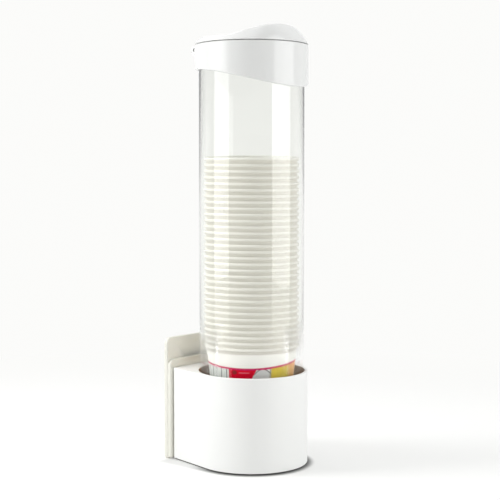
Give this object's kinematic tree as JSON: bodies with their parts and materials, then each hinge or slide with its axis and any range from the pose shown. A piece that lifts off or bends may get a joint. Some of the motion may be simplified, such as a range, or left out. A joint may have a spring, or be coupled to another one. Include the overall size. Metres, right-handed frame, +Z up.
{
  "type": "cup dispenser",
  "caption": "Wall cup dispenser: clear tube of nested paper cups on a round white base with sprung claws, wall plate with hooks, slanted collar and domed flip lid.",
  "frame": {"origin": "under the middle of the bounding box, on the surface it stands on", "axes": "+Z up along the tube, -Y towards the user, +Y towards the wall"},
  "size_m": [0.0898, 0.1066, 0.347],
  "materials": {
    "gloss_white": "gloss",
    "warm_white": "satin",
    "clear_plastic": "gloss",
    "inner_white": "satin",
    "steel": "brushed",
    "paper": "matte",
    "printed_paper": "matte"
  },
  "bodies": {
    "wall_mount": {"wall_plate": "warm_white"},
    "dispenser": {"base_housing": "gloss_white", "clear_tube": "clear_plastic", "claw_carrier": "inner_white", "carrier_screw_1": "steel", "carrier_screw_2": "steel", "carrier_screw_3": "steel", "carrier_screw_4": "steel", "claw_pin_1": "steel", "claw_pin_2": "steel", "claw_pin_3": "steel", "claw_pin_4": "steel", "claw_spring_1": "steel", "claw_spring_2": "steel", "claw_spring_3": "steel", "claw_spring_4": "steel", "neck_cover": "inner_white", "cover_screw_1": "steel", "cover_screw_2": "steel", "lid_collar": "gloss_white", "hinge_pin": "steel"},
    "lid": {"flip_lid": "gloss_white"},
    "cup_stack": {"cup_02": "paper", "cup_03": "paper", "cup_04": "paper", "cup_05": "paper", "cup_06": "paper", "cup_07": "paper", "cup_08": "paper", "cup_09": "paper", "cup_10": "paper", "cup_11": "paper", "cup_12": "paper", "cup_13": "paper", "cup_14": "paper", "cup_15": "paper", "cup_16": "paper", "cup_17": "paper", "cup_18": "paper", "cup_19": "paper", "cup_20": "paper", "cup_21": "paper", "cup_22": "paper", "cup_23": "paper", "cup_24": "paper", "cup_25": "paper", "cup_26": "paper", "cup_27": "paper", "cup_28": "paper", "cup_29": "paper", "cup_30": "paper", "cup_31": "paper", "cup_32": "paper"},
    "lowest_cup": {"cup_01": "printed_paper"},
    "claw_arm_1": {"claw_1": "inner_white"},
    "claw_arm_2": {"claw_2": "inner_white"},
    "claw_arm_3": {"claw_3": "inner_white"},
    "claw_arm_4": {"claw_4": "inner_white"}
  },
  "joints": [
    {"name": "lift_off", "type": "slide", "parent": "wall_mount", "child": "dispenser", "axis": [0, 0, 1], "range_m": [0, 0.0072]},
    {"name": "lid_hinge", "type": "hinge", "parent": "dispenser", "child": "lid", "pos_m": [0, 0.0407, 0.3313], "axis": [-1, 0, 0], "range_deg": [0, 85]},
    {"name": "stack_lift", "type": "slide", "parent": "dispenser", "child": "cup_stack", "axis": [0, 0, 1], "range_m": [0, 0.085]},
    {"name": "cup_pull", "type": "slide", "parent": "dispenser", "child": "lowest_cup", "axis": [0, 0, -1], "range_m": [0, 0.05]},
    {"name": "claw_1_turn", "type": "hinge", "parent": "dispenser", "child": "claw_arm_1", "pos_m": [0.02828, 0.01988, 0.05], "axis": [0.7071, -0.7071, 0], "range_deg": [0, 38.5], "stiffness_Nm_per_rad": 0.02, "deforming": ["claw_spring_1"]},
    {"name": "claw_2_turn", "type": "hinge", "parent": "dispenser", "child": "claw_arm_2", "pos_m": [-0.02828, 0.01988, 0.05], "axis": [0.7071, 0.7071, 0], "range_deg": [0, 38.5], "stiffness_Nm_per_rad": 0.02, "deforming": ["claw_spring_2"]},
    {"name": "claw_3_turn", "type": "hinge", "parent": "dispenser", "child": "claw_arm_3", "pos_m": [-0.02828, -0.03668, 0.05], "axis": [-0.7071, 0.7071, 0], "range_deg": [0, 38.5], "stiffness_Nm_per_rad": 0.02, "deforming": ["claw_spring_3"]},
    {"name": "claw_4_turn", "type": "hinge", "parent": "dispenser", "child": "claw_arm_4", "pos_m": [0.02828, -0.03668, 0.05], "axis": [-0.7071, -0.7071, 0], "range_deg": [0, 38.5], "stiffness_Nm_per_rad": 0.02, "deforming": ["claw_spring_4"]}
  ],
  "couplings": [
    {"joint": "claw_1_turn", "follows": "cup_pull", "rad_per_m": 13.2},
    {"joint": "claw_2_turn", "follows": "cup_pull", "rad_per_m": 13.2},
    {"joint": "claw_3_turn", "follows": "cup_pull", "rad_per_m": 13.2},
    {"joint": "claw_4_turn", "follows": "cup_pull", "rad_per_m": 13.2}
  ]
}
